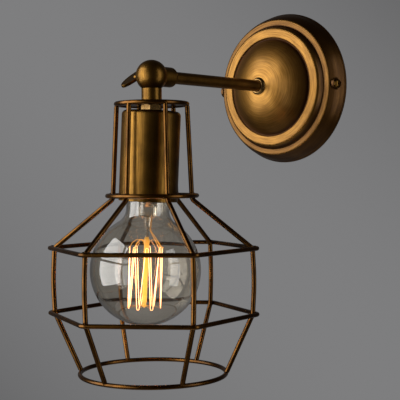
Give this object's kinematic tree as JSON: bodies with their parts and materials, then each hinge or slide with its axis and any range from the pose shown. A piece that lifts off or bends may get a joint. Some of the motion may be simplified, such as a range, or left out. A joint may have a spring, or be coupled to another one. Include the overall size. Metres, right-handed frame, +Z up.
{
  "type": "wall spotlight",
  "caption": "Caged globe-bulb wall light: stepped round backplate, straight arm, clamped ball swivel with thumb screw, and a bent-wire hexagonal cage round an open screw bulb.",
  "frame": {"origin": "on the wall plane, midway between the two wall screw slots, on the arm's axis", "axes": "+Y into the wall, -Y along the arm into the room, +Z up, +X to the right for someone facing the wall"},
  "size_m": [0.1424, 0.233, 0.2766],
  "materials": {
    "zinc_steel": "zinc-plated steel, dull",
    "brass": "turned brass, satin",
    "white_plastic": "white heat-proof plastic",
    "black_plastic": "black heat-proof plastic",
    "bronze_plate": "antique bronze, brushed in circles and lacquered",
    "bronze_fittings": "antique bronze, brushed and lacquered",
    "bright_bronze": "light bronze, polished",
    "bronze_screws": "antique bronze, dark in the recesses",
    "cage_bronze": "dark antique bronze, lacquered",
    "cable_sheath": "black sheath",
    "earth_insulation": "green and yellow insulation",
    "clear_glass": "clear glass with a slight smoky tint",
    "nickel_cap": "thin rolled metal",
    "black_glass": "black glass",
    "support_wire": "thin drawn wire",
    "glowing_filament": "lit filament, glowing amber to white"
  },
  "bodies": {
    "wall_unit": {"wall_bracket": "zinc_steel", "bracket_tabs": "zinc_steel", "earth_screw": "brass", "terminal_block": "white_plastic", "terminal_screws": "zinc_steel", "backplate": "bronze_plate", "cover_screws": "bronze_screws", "arm_tube": "bronze_fittings", "arm_ferrule": "bright_bronze", "arm_washer": "zinc_steel", "arm_nut": "brass", "arm_cable": "cable_sheath", "earth_eyelets": "zinc_steel", "earth_lead": "earth_insulation", "ball_arm_half": "bronze_fittings"},
    "lamp_head": {"ball_lamp_half": "bronze_fittings", "friction_washer": "black_plastic", "threaded_tube": "brass", "cage_disc": "cage_bronze", "cage_top_ring": "cage_bronze", "cage_nut": "bright_bronze", "cage_neck_ring": "cage_bronze", "cage_upper_hexagon": "cage_bronze", "cage_lower_hexagon": "cage_bronze", "cage_bottom_ring": "cage_bronze", "cage_wire_1": "cage_bronze", "cage_wire_2": "cage_bronze", "cage_wire_3": "cage_bronze", "cage_wire_4": "cage_bronze", "cage_wire_5": "cage_bronze", "cage_wire_6": "cage_bronze", "lamp_cup": "bronze_fittings", "cup_nut": "brass", "holder_cap": "black_plastic", "holder_body": "white_plastic", "holder_shell": "brass", "holder_contact": "brass", "holder_screws": "brass", "head_cable": "cable_sheath"},
    "screw_washer": {"spring_washer": "zinc_steel"},
    "thumb_screw": {"thumb_screw": "bronze_fittings"},
    "bulb_tip": {"bulb_insulator": "black_glass", "bulb_contact": "nickel_cap"},
    "bulb": {"bulb_glass": "clear_glass", "bulb_cap": "nickel_cap", "bulb_stem": "clear_glass", "filament_supports": "support_wire", "bulb_leads": "support_wire", "filament": "glowing_filament"}
  },
  "joints": [
    {"name": "head_tilt", "type": "hinge", "parent": "wall_unit", "child": "lamp_head", "pos_m": [0, -0.156, 0], "axis": [-1, 0, 0], "range_deg": [-10, 180]},
    {"name": "screw_travel", "type": "slide", "parent": "wall_unit", "child": "screw_washer", "axis": [-1, 0, 0], "range_m": [0, 0.0014]},
    {"name": "thumb_screw_turn", "type": "hinge", "parent": "screw_washer", "child": "thumb_screw", "pos_m": [-0.0165, -0.156, 0], "axis": [-1, 0, 0], "range_deg": [0, 720]},
    {"name": "bulb_travel", "type": "slide", "parent": "lamp_head", "child": "bulb_tip", "axis": [-0.0324, -0.0292, -0.999], "range_m": [0, 0.02541]},
    {"name": "bulb_turn", "type": "hinge", "parent": "bulb_tip", "child": "bulb", "pos_m": [-0.00385, -0.15947, -0.13959], "axis": [-0.0324, -0.0292, -0.999], "range_deg": [0, 2520]}
  ],
  "couplings": [
    {"joint": "thumb_screw_turn", "follows": "screw_travel", "rad_per_m": 8976},
    {"joint": "bulb_travel", "follows": "bulb_turn", "m_per_rad": 0.00057773}
  ]
}
